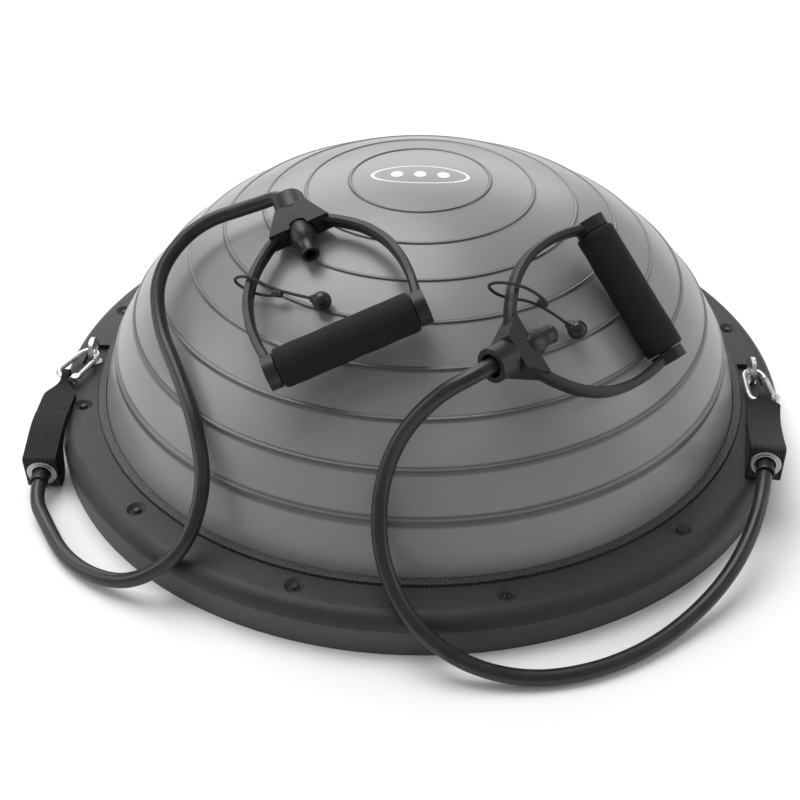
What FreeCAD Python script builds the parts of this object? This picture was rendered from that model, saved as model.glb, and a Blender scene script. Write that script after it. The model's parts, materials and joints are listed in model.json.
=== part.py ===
import FreeCAD, Part
import math
import os
import Sketcher

V = FreeCAD.Vector
doc = FreeCAD.newDocument("BalanceDomeTrainer")
sheet = doc.addObject("Spreadsheet::Sheet", "Dims")

# Driving dimensions in millimetres.
DIMS = {
    "BaseFootRadius": 299.5, "BaseEdgeRadius": 300.0, "SkirtInner": 295.5,
    "TrayTop": 21.8, "PlateBottom": 3.0, "PlateTop": 7.0, "SeatRibTop": 18.0,
    "SeatRibInner": 253.0, "SeatRibOuter": 275.0, "CupRadius": 26.0, "CupWall": 4.0,
    "RingUnderside": 27.0, "FlangeTop": 33.7, "CollarTop": 35.5, "CollarOuter": 267.8,
    "CollarInner": 261.8, "LipOuter": 271.8, "LipInner": 264.6, "LipBottom": 21.3,
    "EdgeRounding": 10.6, "ShadowGapDepth": 1.0, "ShadowGapWidth": 1.0,
    "DomeRadius": 264.5, "DomeHeight": 210.1, "DomeCentre": 1.8, "SkinThickness": 3.0,
    "BeadOuter": 270.5, "RidgeWidth": 2.6, "RidgeHeight": 1.0, "ValveHole": 14.0,
    "RivetCircle": 280.3, "RivetCount": 12.0, "RivetShank": 2.5, "RivetHead": 3.9,
    "DishRadius": 7.5, "DishDepth": 2.4, "BossRadius": 4.8,
    "EyeX": 278.0, "EyeY": -5.0, "EyeZ": 41.4, "EyeOuter": 11.7, "EyeInner": 7.2, "EyeThick": 3.6,
    "PocketX": 17.0, "PocketY": 30.5, "PocketDepth": 4.2,
    "WireRadius": 2.2, "HookLength": 41.0, "StrapWidth": 26.0, "StrapThick": 1.8,
    "TubeRadius": 5.5, "SleeveRadius": 6.45, "GrommetRadius": 11.6,
    "FoamRadius": 14.3, "FoamLength": 99.4, "CoreRadius": 8.0, "CapRadius": 12.2,
    "CapX": 50.4, "CapWidth": 8.6, "CollarRad": 12.0, "ArmDepth": 10.5, "ArmWidth": 6.6,
    "BallRadius": 7.0, "CordRadius": 1.1, "FootPad": 15.0,
}
for row, (key, value) in enumerate(DIMS.items(), start=1):
    sheet.set("A%d" % row, key)
    sheet.set("B%d" % row, "%g" % value)
    sheet.setAlias("B%d" % row, key)
doc.recompute()
D = DIMS


def bind(obj, **exprs):
    """Tie properties of an object to cells of the sheet."""
    for prop, expr in exprs.items():
        for key in sorted(DIMS, key=len, reverse=True):
            expr = expr.replace("@" + key + "@", "Dims." + key)
        obj.setExpression(prop, expr)
    return obj


def add(kind, name, pos=(0, 0, 0), axis=None, **exprs):
    """Add a primitive with bound sizes; its own Z points along axis."""
    obj = doc.addObject(kind, name)
    bind(obj, **exprs)
    rot = FreeCAD.Rotation(V(0, 0, 1), V(*axis)) if axis else FreeCAD.Rotation()
    obj.Placement = FreeCAD.Placement(V(*pos), rot)
    return obj


def fuse(name, parts):
    """Join several solids into one."""
    obj = doc.addObject("Part::MultiFuse", name)
    obj.Shapes = parts
    return obj


def cut(name, base, tool):
    """Take one solid from another."""
    obj = doc.addObject("Part::Cut", name)
    obj.Base = base
    obj.Tool = tool
    return obj


def solid(name, shape):
    """Keep a free-form solid that no primitive describes."""
    obj = doc.addObject("Part::Feature", name)
    obj.Shape = shape
    return obj


def revolved(name, points, parent=None):
    """A PartDesign body revolved about Z from (radius, height) expressions."""
    body = doc.addObject("PartDesign::Body", name)
    sketch = body.newObject("Sketcher::SketchObject", name + "_profile")
    plane = [f for f in body.Origin.OriginFeatures if f.Role == "XZ_Plane"][0]
    sketch.AttachmentSupport = [(plane, "")]
    sketch.MapMode = "FlatFace"
    vals = []
    for r, z in points:
        vals.append((evaluate(r), evaluate(z)))
    n = len(vals)
    for i in range(n):
        a = vals[i]
        b = vals[(i + 1) % n]
        sketch.addGeometry(Part.LineSegment(V(a[0], a[1], 0), V(b[0], b[1], 0)))
    for i in range(n):
        sketch.addConstraint(Sketcher.Constraint("Coincident", i, 2, (i + 1) % n, 1))
    for i, (r, z) in enumerate(points):
        for kind, text, value in (("DistanceX", r, vals[i][0]), ("DistanceY", z, vals[i][1])):
            index = sketch.addConstraint(Sketcher.Constraint(kind, -1, 1, i, 1, value))
            expr = text
            for key in sorted(DIMS, key=len, reverse=True):
                expr = expr.replace("@" + key + "@", "Dims." + key)
            sketch.setExpression("Constraints[%d]" % index, expr)
    rev = body.newObject("PartDesign::Revolution", name + "_turn")
    rev.Profile = sketch
    rev.ReferenceAxis = (sketch, ["V_Axis"])
    rev.Angle = 360.0
    body.Tip = rev
    doc.recompute()
    return body


def evaluate(text):
    """Number of a size expression written with @cell@ names."""
    for key in sorted(DIMS, key=len, reverse=True):
        text = text.replace("@" + key + "@", repr(DIMS[key]))
    total = 0.0
    for term in text.replace("-", "+-").split("+"):
        term = term.strip()
        if term:
            sign = -1.0 if term.startswith("-") else 1.0
            total += sign * float(term.lstrip("- "))
    return total


def frame(origin, x, y):
    """Placement whose local X and Y point along the given directions."""
    ax = V(*x).normalize()
    az = ax.cross(V(*y)).normalize()
    ay = az.cross(ax)
    m = FreeCAD.Matrix(ax.x, ay.x, az.x, origin[0], ax.y, ay.y, az.y, origin[1],
                       ax.z, ay.z, az.z, origin[2], 0, 0, 0, 1)
    return FreeCAD.Placement(m)


def arc_wire(points, closed=False):
    """Straight runs joined by tangent arcs; returns the wire and the radii."""
    pts = [V(*p) for p in points]
    n = len(pts)
    ends, edges, radii = [], [], []
    for i in range(n):
        if not closed and i in (0, n - 1):
            ends.append((pts[i], None, pts[i]))
            continue
        p, q, s = pts[i - 1], pts[i], pts[(i + 1) % n]
        a, b = (p - q), (s - q)
        run = min(a.Length, b.Length)
        a.normalize()
        b.normalize()
        turn = math.pi - a.getAngle(b)
        reach = 0.45 * run
        radii.append(reach / math.tan(turn / 2.0))
        bis = (a + b).normalize()
        mid = q + bis * (radii[-1] / math.cos(turn / 2.0) - radii[-1])
        ends.append((q + a * reach, mid, q + b * reach))
    for i in range(n if closed else n - 1):
        here, there = ends[i], ends[(i + 1) % n]
        edges.append(Part.LineSegment(here[2], there[0]).toShape())
        if there[1] is not None:
            edges.append(Part.Arc(there[0], there[1], there[2]).toShape())
    return Part.Wire(edges), radii


def cord(name, points, radius):
    """A round cord along a route of straight runs and tangent arcs."""
    wire, radii = arc_wire(points)
    start = wire.Vertexes[0].Point
    heading = V(*points[1]) - V(*points[0])
    circle = Part.Wire([Part.makeCircle(radius, start, heading)])
    shape = wire.makePipeShell([circle], True, False)
    print("%s: length %.1f, least bend radius %.1f, volume ratio %.4f" % (
        name, wire.Length, min(radii), shape.Volume / (math.pi * radius ** 2 * wire.Length)))
    return solid(name, shape)


def swept(points, radius, closed=False):
    """Plain swept wire shape, for bent metal and moulded arms."""
    wire, radii = arc_wire(points, closed)
    start = wire.Edges[0].valueAt(wire.Edges[0].FirstParameter)
    heading = wire.Edges[0].tangentAt(wire.Edges[0].FirstParameter)
    circle = Part.Wire([Part.makeCircle(radius, start, heading)])
    return wire.makePipeShell([circle], True, False)


def turned(points):
    """Solid of revolution about local Y from (radius, y) pairs."""
    pts = [V(r, y, 0) for r, y in points]
    face = Part.Face(Part.makePolygon(pts + [pts[0]]))
    return face.revolve(V(0, 0, 0), V(0, 1, 0), 360.0)


def placed(shape, place):
    """Copy of a shape moved into a frame."""
    copy = shape.copy()
    copy.Placement = place.multiply(copy.Placement)
    return copy


# ---------------------------------------------------------------- base tray
tray = revolved("tray_turn", [
    ("@CupRadius@", "@PlateBottom@"), ("@SkirtInner@", "@PlateBottom@"), ("@SkirtInner@", "0"),
    ("@BaseFootRadius@", "0"), ("@BaseEdgeRadius@", "@TrayTop@"),
    ("@SkirtInner@+0.5", "@TrayTop@"), ("@SkirtInner@+0.5", "@PlateTop@"),
    ("@SeatRibOuter@", "@PlateTop@"), ("@SeatRibOuter@", "@SeatRibTop@"),
    ("@SeatRibInner@", "@SeatRibTop@"), ("@SeatRibInner@", "@PlateTop@"),
    ("@CupRadius@+@CupWall@", "@PlateTop@"), ("@CupRadius@+@CupWall@", "@SeatRibTop@-0.2"),
    ("@CupRadius@", "@SeatRibTop@-0.2")])
ribs = []
for k in range(12):
    a = math.radians(30.0 * k)
    rib = add("Part::Box", "rib_%02d" % k, Length="@SeatRibInner@-@CupRadius@",
              Width="3", Height="@SeatRibTop@-0.4-@PlateTop@+0.5")
    rib.Placement = FreeCAD.Placement(
        V(28.0 * math.cos(a) + 1.5 * math.sin(a), 28.0 * math.sin(a) - 1.5 * math.cos(a), 6.5),
        FreeCAD.Rotation(V(0, 0, 1), 30.0 * k))
    ribs.append(rib)
bosses, bores, dishes, heads = [], [], [], []
for k in range(12):
    a = math.radians(15.0 + 30.0 * k)
    x, y = D["RivetCircle"] * math.cos(a), D["RivetCircle"] * math.sin(a)
    bosses.append(add("Part::Cylinder", "boss_%02d" % k, (x, y, 6.5),
                      Radius="@BossRadius@", Height="@RingUnderside@-6.6"))
    bores.append(add("Part::Cylinder", "bore_%02d" % k, (x, y, 0.0),
                     Radius="@RivetShank@+0.1", Height="60"))
    dishes.append(add("Part::Cone", "dish_%02d" % k, (x, y, D["FlangeTop"] - D["DishDepth"]),
                      Radius1="@RivetHead@+0.6", Radius2="@DishRadius@", Height="@DishDepth@"))
    shank = add("Part::Cylinder", "shank_%02d" % k, (x, y, 4.0), Radius="@RivetShank@",
                Height="@FlangeTop@-@DishDepth@-4")
    head = add("Part::Cone", "head_%02d" % k, (x, y, D["FlangeTop"] - D["DishDepth"]),
               Radius1="@RivetHead@", Radius2="@RivetHead@-1.9", Height="@DishDepth@-0.2")
    heads.append(fuse("rivet_%02d" % k, [shank, head]))
bore_set = fuse("bore_set", bores)
tray_body = fuse("tray_body", [tray] + ribs + bosses)
base_tray = cut("base_tray", tray_body, bore_set)

# --------------------------------------------------------------- clamp ring
ring = revolved("ring_turn", [
    ("@LipInner@", "@LipBottom@"), ("@LipOuter@", "@LipBottom@"),
    ("@LipOuter@", "@RingUnderside@"), ("290", "@RingUnderside@"), ("@SkirtInner@", "23.4"),
    ("@SkirtInner@", "@TrayTop@+0.2"), ("@BaseEdgeRadius@", "@TrayTop@+0.2"),
    ("@BaseEdgeRadius@", "@FlangeTop@"), ("@CollarOuter@+@ShadowGapWidth@", "@FlangeTop@"),
    ("@CollarOuter@+@ShadowGapWidth@", "@FlangeTop@-@ShadowGapDepth@"),
    ("@CollarOuter@", "@FlangeTop@-@ShadowGapDepth@"), ("@CollarOuter@", "@CollarTop@"),
    ("@CollarInner@", "@CollarTop@")])
corner = add("Part::Cylinder", "corner_block", (0, 0, D["FlangeTop"] - D["EdgeRounding"]),
             Radius="@BaseEdgeRadius@+1", Height="@EdgeRounding@+1")
corner_in = add("Part::Cylinder", "corner_inner", (0, 0, 20.0),
                Radius="@BaseEdgeRadius@-@EdgeRounding@", Height="20")
corner_tube = add("Part::Torus", "corner_tube", (0, 0, D["FlangeTop"] - D["EdgeRounding"]),
                  Radius1="@BaseEdgeRadius@-@EdgeRounding@", Radius2="@EdgeRounding@")
corner_keep = fuse("corner_keep", [corner_in, corner_tube])
corner_tool = cut("corner_tool", corner, corner_keep)
pockets = []
for side, x in (("left", -1.0), ("right", 1.0)):
    box = add("Part::Box", "pocket_" + side, (x * 278.5 - 8.5, -14.5, 29.5),
              Length="@PocketX@", Width="@PocketY@", Height="12")
    hole = add("Part::Cylinder", "eye_hole_" + side, (x * D["EyeX"], D["EyeY"], 15.0),
               Radius="3.1", Height="30")
    pockets += [box, hole]
ring_round = cut("ring_round", ring, corner_tool)
ring_cuts = fuse("ring_cuts", [bore_set] + dishes + pockets)
clamp_ring = cut("clamp_ring", ring_round, ring_cuts)

ring_rivets = doc.addObject("Part::Compound", "ring_rivets")
ring_rivets.Links = heads

# -------------------------------------------------------------- dome bladder
RING_RADII = (54.3, 88.2, 121.3, 152.8, 182.1, 208.4, 230.8, 248.3)


def on_ellipse(a, b, t):
    """Point of the dome's profile at parameter t, radius first."""
    return V(a * math.cos(t), 0, D["DomeCentre"] + b * math.sin(t))


def crown_arc(radius, z, top):
    """Arc of a circle centred on the axis, from (radius, z) up to (0, top)."""
    rise = top - z
    size = (radius ** 2 + rise ** 2) / (2.0 * rise)
    half = math.asin(radius / size) / 2.0
    middle = V(size * math.sin(half), 0, top - size + size * math.cos(half))
    return Part.Arc(V(radius, 0, z), middle, V(0, 0, top)).toShape()


def dome_profile():
    """Closed profile of the inflated skin with its eight moulded ridges."""
    a, b, skin = D["DomeRadius"], D["DomeHeight"], D["SkinThickness"]
    zc, seat = D["DomeCentre"], D["SeatRibTop"]
    t_low = math.asin((seat + skin - zc) / b)
    t_in = math.asin((seat + skin - zc) / (b - skin))
    width, height = D["RidgeWidth"] / 2.0, D["RidgeHeight"]
    edges = []
    here, inner = t_low, t_in
    for r in reversed(RING_RADII):
        t0 = math.acos((r + width * 0.9) / a)
        t1 = math.acos((r - width * 0.9) / a)
        tm = math.acos(r / a)
        ti = math.acos((r - skin) / (a - skin))
        normal = V(math.cos(tm) / a, 0, math.sin(tm) / b).normalize()
        for u, v in ((here, (here + t0) / 2.0), ((here + t0) / 2.0, t0)):
            edges.append(Part.Arc(on_ellipse(a, b, u), on_ellipse(a, b, (u + v) / 2.0),
                                  on_ellipse(a, b, v)).toShape())
        edges.append(Part.Arc(on_ellipse(a, b, t0), on_ellipse(a, b, tm) + normal * height,
                              on_ellipse(a, b, t1)).toShape())
        edges.append(Part.Arc(on_ellipse(a - skin, b - skin, inner),
                              on_ellipse(a - skin, b - skin, (inner + ti) / 2.0),
                              on_ellipse(a - skin, b - skin, ti)).toShape())
        here, inner = t1, ti
    last, last_in = on_ellipse(a, b, here), on_ellipse(a - skin, b - skin, inner)
    edges.append(crown_arc(last.x, last.z, zc + b))
    edges.append(crown_arc(last_in.x, last_in.z, zc + b - skin))
    edges.append(Part.LineSegment(V(0, 0, zc + b), V(0, 0, zc + b - skin)).toShape())
    ring = [on_ellipse(a - skin, b - skin, t_in), V(D["ValveHole"], 0, seat + skin),
            V(D["ValveHole"], 0, seat), V(D["BeadOuter"], 0, seat),
            V(D["BeadOuter"], 0, seat + skin), on_ellipse(a, b, t_low)]
    for p, q in zip(ring, ring[1:]):
        edges.append(Part.LineSegment(p, q).toShape())
    return Part.Face(Part.Wire(Part.__sortEdges__(edges)))


profile = solid("dome_profile", dome_profile())
dome_bladder = doc.addObject("Part::Revolution", "dome_bladder")
dome_bladder.Source = profile
dome_bladder.Axis = V(0, 0, 1)
dome_bladder.Angle = 360.0
dome_bladder.Solid = True

# --------------------------------------------------------------------- valve
valve_seat = revolved("valve_seat", [
    ("7.2", "10.5"), ("12", "10.5"), ("13.9", "17.8"), ("13.9", "21.2"), ("20", "21.2"),
    ("20", "23"), ("11", "23"), ("9.5", "26"), ("7.2", "26")])
valve_plug = revolved("valve_plug", [
    ("0", "8.2"), ("10", "8.2"), ("10", "10.2"), ("7.05", "10.2"), ("7.05", "22"),
    ("6", "24"), ("0", "24")])
pads = []
for k in range(8):
    a = math.radians(22.5 + 45.0 * k)
    pads.append(add("Part::Cylinder", "pad_%d" % k, (235.0 * math.cos(a), 235.0 * math.sin(a), 0.0),
                    Radius="@FootPad@", Height="@PlateBottom@"))
foot_pads = doc.addObject("Part::Compound", "foot_pads")
foot_pads.Links = pads

parts = {"base_tray": base_tray, "clamp_ring": clamp_ring, "ring_rivets": ring_rivets,
         "dome_bladder": dome_bladder, "valve_seat": valve_seat, "valve_plug": valve_plug,
         "foot_pads": foot_pads}

# ----------------------------------------------------------------- side sets
SIDES = {
    "left": {
        "sx": -1.0, "hook_tilt": -23.0, "bar_x": 2.5, "wrap": (2.7, -23.2),
        "strap_dir": (0.0377, -1.0, 0.0),
        "lower": [(0, -4.9), (9, -3.0), (35, -3.0), (62, -4.6), (75.4, -11.0), (82.4, -33.5),
                  (85.9, -36.8), (91.9, -36.7), (95.9, -36.5)],
        "upper": [(97.8, -9.0), (93.8, -8.7), (62, 0.4), (35, -0.8), (9, -0.8), (0, 4.9)],
        "grommet": (96.85, -22.75), "pitch": 3.95, "lift": 0.9, "anchor": (8.6, 6.6),
        "handle": ((-40.905, -182.046, 176.174), (0.90393, 0.28956, 0.31475),
                   (-0.36914, 0.89988, 0.23228)),
        "tube": [(-272.0, -190.0, 8.0), (-251.0, -222.0, 6.4), (-220.0, -246.0, 8.6), (-187.3, -257.5, 17.1),
                 (-150.4, -253.1, 44.2), (-138.9, -221.1, 77.8), (-149.4, -187.4, 105.7),
                 (-167.9, -150.5, 124.1), (-188.2, -113.5, 139.4), (-195.0, -74.8, 162.4),
                 (-168.7, -42.5, 186.6), (-124.6, -38.6, 201.2)],
        "mouth": 156.0,
        "tag": [(-12.2, 52.6, -4.1), (-33.6, 70.5, -2.0), (-47.0, 84.0, 9.6), (-58.0, 94.5, 2.0),
                (-56.5, 91.5, -4.5), (-44.5, 77.5, -9.4), (-31.0, 66.3, -4.0)],
        "ball": (-5.6, 45.8, -4.4), "tag_at": (-49.0, 81.0, 0.0), "tag_along": (-0.444, -0.896, 0.0),
    },
    "right": {
        "sx": 1.0, "hook_tilt": 4.0, "bar_x": 0.5, "wrap": (4.4, -25.2),
        "strap_dir": (-0.17, -1.0, 0.0),
        "lower": [(0, -4.9), (9, -2.6), (27, -2.8), (60, -4.7), (90, -4.8), (94, -4.8)],
        "upper": [(94, 22.6), (90, 22.6), (60, 10.5), (27, 0.1), (9, 0.1), (0, 4.9)],
        "grommet": (94.0, 8.9), "pitch": 0.0, "lift": 1.3, "anchor": (14.0, 8.0),
        "handle": ((154.381, -101.723, 172.628), (-0.53594, 0.52139, 0.66402),
                   (-0.67161, -0.73989, 0.0389)),
        "tube": [(247.0, -203.1, 31.8), (225.9, -236.6, 19.1), (196.8, -267.0, 9.4),
                 (164.6, -293.6, 6.2), (126.6, -313.9, 6.0), (85.5, -323.0, 6.6),
                 (43.2, -319.5, 15.3), (8.6, -303.8, 34.1), (-12.3, -274.4, 58.9),
                 (-16.7, -248.4, 92.2), (-5.5, -232.5, 131.0), (19.7, -227.9, 165.3)],
        "mouth": 158.6,
        "tag": [(2.0, 59.9, -10.4), (23.9, 72.8, -9.6), (38.5, 99.5, -10.8), (48.5, 113.0, -3.0),
                (48.0, 112.0, 5.5), (37.5, 97.5, 10.4), (24.5, 79.0, 2.5), (20.0, 69.5, -6.8)],
        "ball": (-5.9, 55.4, -9.0), "tag_at": (36.0, 99.0, 0.0), "tag_along": (-0.701, 0.713, 0.0),
    },
}
BAR_Z = 40.0
placements = {}
for side, s in SIDES.items():
    sx = s["sx"]
    ex, ey = sx * D["EyeX"], D["EyeY"]
    # Eye bolt: band ring with its hole along X, a collar and a threaded shank.
    band = add("Part::Cylinder", side + "_band", (ex - 1.8, ey, D["EyeZ"]), (1, 0, 0),
               Radius="@EyeOuter@", Height="@EyeThick@")
    hole = add("Part::Cylinder", side + "_band_hole", (ex - 6.0, ey, D["EyeZ"]), (1, 0, 0),
               Radius="@EyeInner@", Height="12")
    collar = add("Part::Cylinder", side + "_eye_collar", (ex, ey, 29.5), Radius="5.5", Height="1.6")
    shank = add("Part::Cylinder", side + "_eye_shank", (ex, ey, 19.2), Radius="3", Height="12")
    eye_full = fuse(side + "_eye_full", [band, collar, shank])
    parts[side + "_eye_bolt"] = cut(side + "_eye_bolt", eye_full, hole)
    nut_block = add("Part::Prism", side + "_nut_block", (ex, ey, 20.4), Polygon="6",
                    Circumradius="5.7", Height="5")
    nut_hole = add("Part::Cylinder", side + "_nut_hole", (ex, ey, 18.0), Radius="3", Height="12")
    parts[side + "_eye_nut"] = cut(side + "_eye_nut", nut_block, nut_hole)
    wash = add("Part::Cylinder", side + "_wash", (ex, ey, 25.5), Radius="6", Height="1.5")
    wash_hole = add("Part::Cylinder", side + "_wash_hole", (ex, ey, 24.0), Radius="3.1", Height="5")
    parts[side + "_eye_washer"] = cut(side + "_eye_washer", wash, wash_hole)

    # Spring hook in its own frame: origin in the eye, Y towards the bar, X to the gate.
    tilt = math.radians(s["hook_tilt"])
    ydir = (math.sin(tilt), -math.cos(tilt), (BAR_Z - D["EyeZ"]) / D["HookLength"])
    xdir = (math.cos(tilt), math.sin(tilt), 0.0)
    hook = frame((ex, ey, D["EyeZ"]), xdir, ydir)
    placements[side + "_hook"] = hook
    spine = [(8.9, 11.4, 0), (7.9, 5.6, 0), (5.2, 1.4, 0), (0, -0.2, 0), (-5.4, 1.6, 0),
             (-8.0, 7.0, 0), (-9.6, 30.5, 0), (-8.8, 37.0, 0), (-4.0, 41.0, 0), (8.1, 41.0, 0)]
    body = swept(spine, D["WireRadius"])
    eyelet = Part.makeCylinder(3.4, 5.6, V(10.6, 38.6, -2.8), V(0, 0, 1))
    pin_hole = Part.makeCylinder(0.85, 8.0, V(10.6, 38.0, -4.0), V(0, 0, 1))
    nose_slot = Part.makeBox(5.0, 3.2, 2.0, V(6.5, 9.2, -1.0))
    body = body.fuse(eyelet)
    body = body.cut(Part.makeBox(8.2, 9.0, 2.8, V(6.0, 32.2, -1.4)))
    body = body.cut(pin_hole).cut(nose_slot)
    parts[side + "_carabiner_frame"] = solid(side + "_carabiner_frame", placed(body, hook))
    top = V(9.35, 12.6, 0)
    low = V(10.6, 34.4, 0)
    gate = Part.makeCylinder(2.0, (low - top).Length, top, low - top)
    tongue = Part.makeBox(3.6, 6.6, 2.2, V(8.8, 33.6, -1.1))
    gate = gate.fuse(tongue).cut(Part.makeCylinder(0.85, 8.0, V(10.6, 38.0, -4.0), V(0, 0, 1)))
    parts[side + "_carabiner_gate"] = solid(side + "_carabiner_gate", placed(gate, hook))
    pin = Part.makeCylinder(0.8, 6.4, V(10.6, 38.0, -3.2), V(0, 0, 1))
    parts[side + "_gate_pin"] = solid(side + "_gate_pin", placed(pin, hook))

    # Webbing loop: wraps the bar, runs out and squares off at the grommet face.
    bar = hook.multVec(V(s["bar_x"], 41.0, 0.0))
    udir = V(*s["strap_dir"]).normalize()
    web = frame((bar.x, bar.y, bar.z), (udir.x, udir.y, 0.0), (0.0, 0.0, 1.0))
    placements[side + "_web"] = web
    loop = [(u, z, 0) for u, z in s["lower"]] + [(u, z, 0) for u, z in s["upper"]]
    loop += [(-4.9, 4.9, 0), (-4.9, -4.9, 0)]
    line, radii = arc_wire(loop, True)
    half = D["StrapThick"] / 2.0
    outside = Part.Face(line.makeOffset2D(half))
    inside = Part.Face(line.makeOffset2D(-half))
    band_shape = outside.cut(inside).extrude(V(0, 0, D["StrapWidth"]))
    band_shape.translate(V(0, 0, -D["StrapWidth"] / 2.0))
    for z0 in s["wrap"]:
        band_shape = band_shape.cut(Part.makeBox(16.0, 20.0, 20.0, V(-10.0, -10.0, z0)))
    gu, gz = s["grommet"]
    out = V(math.cos(math.radians(s["pitch"])), -math.sin(math.radians(s["pitch"])), 0)
    centre = V(gu, gz, 0)
    band_shape = band_shape.cut(Part.makeCylinder(8.3, 8.0, centre - out * 4.0, out))
    parts[side + "_strap"] = solid(side + "_strap", placed(band_shape, web))
    flat = (Part.makeCylinder(D["GrommetRadius"], 0.8, centre + out * 1.0, out)
            .fuse(Part.makeCylinder(D["GrommetRadius"], 0.8, centre - out * 1.8, out))
            .fuse(Part.makeCylinder(8.1, 3.4, centre - out * 1.7, out))
            .cut(Part.makeCylinder(7.0, 8.0, centre - out * 4.0, out)))
    parts[side + "_grommet"] = solid(side + "_grommet", placed(flat, web))
    back, ball_radius = s["anchor"]
    gap = back - ball_radius - 0.1
    sleeve = (Part.makeCylinder(D["SleeveRadius"], 12.5 + gap, centre - out * gap, out)
              .fuse(Part.makeCylinder(7.0, 4.5, centre + out * 8.0, out))
              .cut(Part.makeCylinder(5.55, 30.0, centre - out * 8.0, out)))
    parts[side + "_tube_sleeve"] = solid(side + "_tube_sleeve", placed(sleeve, web))
    stop = Part.makeSphere(ball_radius, centre - out * back)
    parts[side + "_anchor_ball"] = solid(side + "_anchor_ball", placed(stop, web))
    s["tube_start"] = web.multVec(centre - out * gap)
    s["tube_dir"] = web.Rotation.multVec(out)

    # Handle: yoke, collar, grip and the swollen tube end, in the handle frame.
    flat_hand = frame(*s["handle"])
    lift = flat_hand.Rotation.multVec(V(0, 0, s["lift"]))
    hand = FreeCAD.Placement(flat_hand.Base + lift, flat_hand.Rotation)
    placements[side + "_handle"] = hand
    k = 0.985
    arms = []
    for sign in (-1.0, 1.0):
        route = [(sign * 55.0 * k, 4.0, 0), (sign * 58.6 * k, 26.0, 0), (sign * 59.0 * k, 47.0, 0),
                 (sign * 55.0 * k, 70.0, 0), (sign * 44.0 * k, 92.0, 0), (sign * 26.0 * k, 110.0, 0),
                 (sign * 12.0 * k, 119.0, 0)]
        wire, radii = arc_wire(route)
        head = V(*route[1]) - V(*route[0])
        w, d = D["ArmWidth"] / 2.0, D["ArmDepth"] / 2.0
        side_dir = V(head.y, -head.x, 0).normalize()
        corners = []
        for a, b in ((-1, -0.6), (-0.5, -1), (0.5, -1), (1, -0.6), (1, 0.6), (0.5, 1), (-0.5, 1),
                     (-1, 0.6), (-1, -0.6)):
            corners.append(V(*route[0]) + side_dir * (a * w) + V(0, 0, b * d))
        section = Part.makePolygon(corners)
        arms.append(wire.makePipeShell([section], True, False))
    hood = Part.makeLoft([
        Part.makePolygon([V(-23, 112, -8), V(23, 112, -8), V(23, 112, 8), V(-23, 112, 8),
                          V(-23, 112, -8)]),
        Part.makePolygon([V(-12, 131, -11.5), V(12, 131, -11.5), V(12, 131, 11.5),
                          V(-12, 131, 11.5), V(-12, 131, -11.5)])], True)
    yoke = hood
    for arm in arms:
        yoke = yoke.fuse(arm)
    yoke = yoke.fuse(Part.makeCylinder(D["CollarRad"], 17.0, V(0, 130.5, 0), V(0, 1, 0)))
    for sign in (-1.0, 1.0):
        x0 = V(sign * D["CapX"], 0, 0)
        yoke = yoke.fuse(Part.makeCylinder(D["CapRadius"], D["CapWidth"], x0, V(sign, 0, 0)))
        yoke = yoke.fuse(Part.makeCylinder(4.9, 12.0, x0 - V(sign * 11.5, 0, 0), V(sign, 0, 0)))
    yoke = yoke.cut(Part.makeCylinder(5.8, 60.0, V(0, 100, 0), V(0, 1, 0)))
    yoke = yoke.cut(Part.makeCylinder(8.3, 8.0, V(0, 141.5, 0), V(0, 1, 0)))
    yoke = yoke.cut(turned([(0.01, 108), (10.4, 108), (10.4, 115.5), (5.8, 122), (0.01, 122)]))
    parts[side + "_yoke"] = solid(side + "_yoke", placed(yoke.removeSplitter(), hand))
    tube_end = turned([(0.01, 135.5), (5.5, 135.5), (5.5, 121.6), (9.5, 113.4), (9.8, 108), (9.0, 102),
                       (6.6, 96), (6.4, 87), (3.4, 87), (3.4, 96), (0.01, 96)])
    ball_room = Part.makeSphere(7.0, V(0, 108.5, 0))
    tube_end = tube_end.cut(ball_room)
    parts[side + "_tube_end"] = solid(side + "_tube_end", placed(tube_end, hand))
    stop_ball = Part.makeSphere(6.9, V(0, 108.5, 0))
    parts[side + "_stop_ball"] = solid(side + "_stop_ball", placed(stop_ball, hand))
    core = add("Part::Cylinder", side + "_core_out", (-49.9, 0, 0), (1, 0, 0),
               Radius="@CoreRadius@", Height="99.8")
    core_in = add("Part::Cylinder", side + "_core_in", (-60.0, 0, 0), (1, 0, 0),
                  Radius="5.0", Height="120")
    grip_core = cut(side + "_grip_core", core, core_in)
    grip_core.Placement = hand
    parts[side + "_grip_core"] = grip_core
    foam = add("Part::Cylinder", side + "_foam_out", (-49.7, 0, 0), (1, 0, 0),
               Radius="@FoamRadius@", Height="@FoamLength@")
    foam_in = add("Part::Cylinder", side + "_foam_in", (-60.0, 0, 0), (1, 0, 0),
                  Radius="@CoreRadius@", Height="120")
    foam_grip = cut(side + "_foam_grip", foam, foam_in)
    foam_grip.Placement = hand
    parts[side + "_foam_grip"] = foam_grip

    # Elastic tube from the anchor ball through the sleeve to the collar.
    start = s["tube_start"]
    reach = 27.4 + s["anchor"][0] - s["anchor"][1]
    run = [start, start + s["tube_dir"] * reach] + [V(*p) for p in s["tube"]]
    run += [hand.multVec(V(0, s["mouth"], 0)), hand.multVec(V(0, 135.5, 0))]
    parts[side + "_tube"] = cord(side + "_tube", run, D["TubeRadius"])

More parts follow.
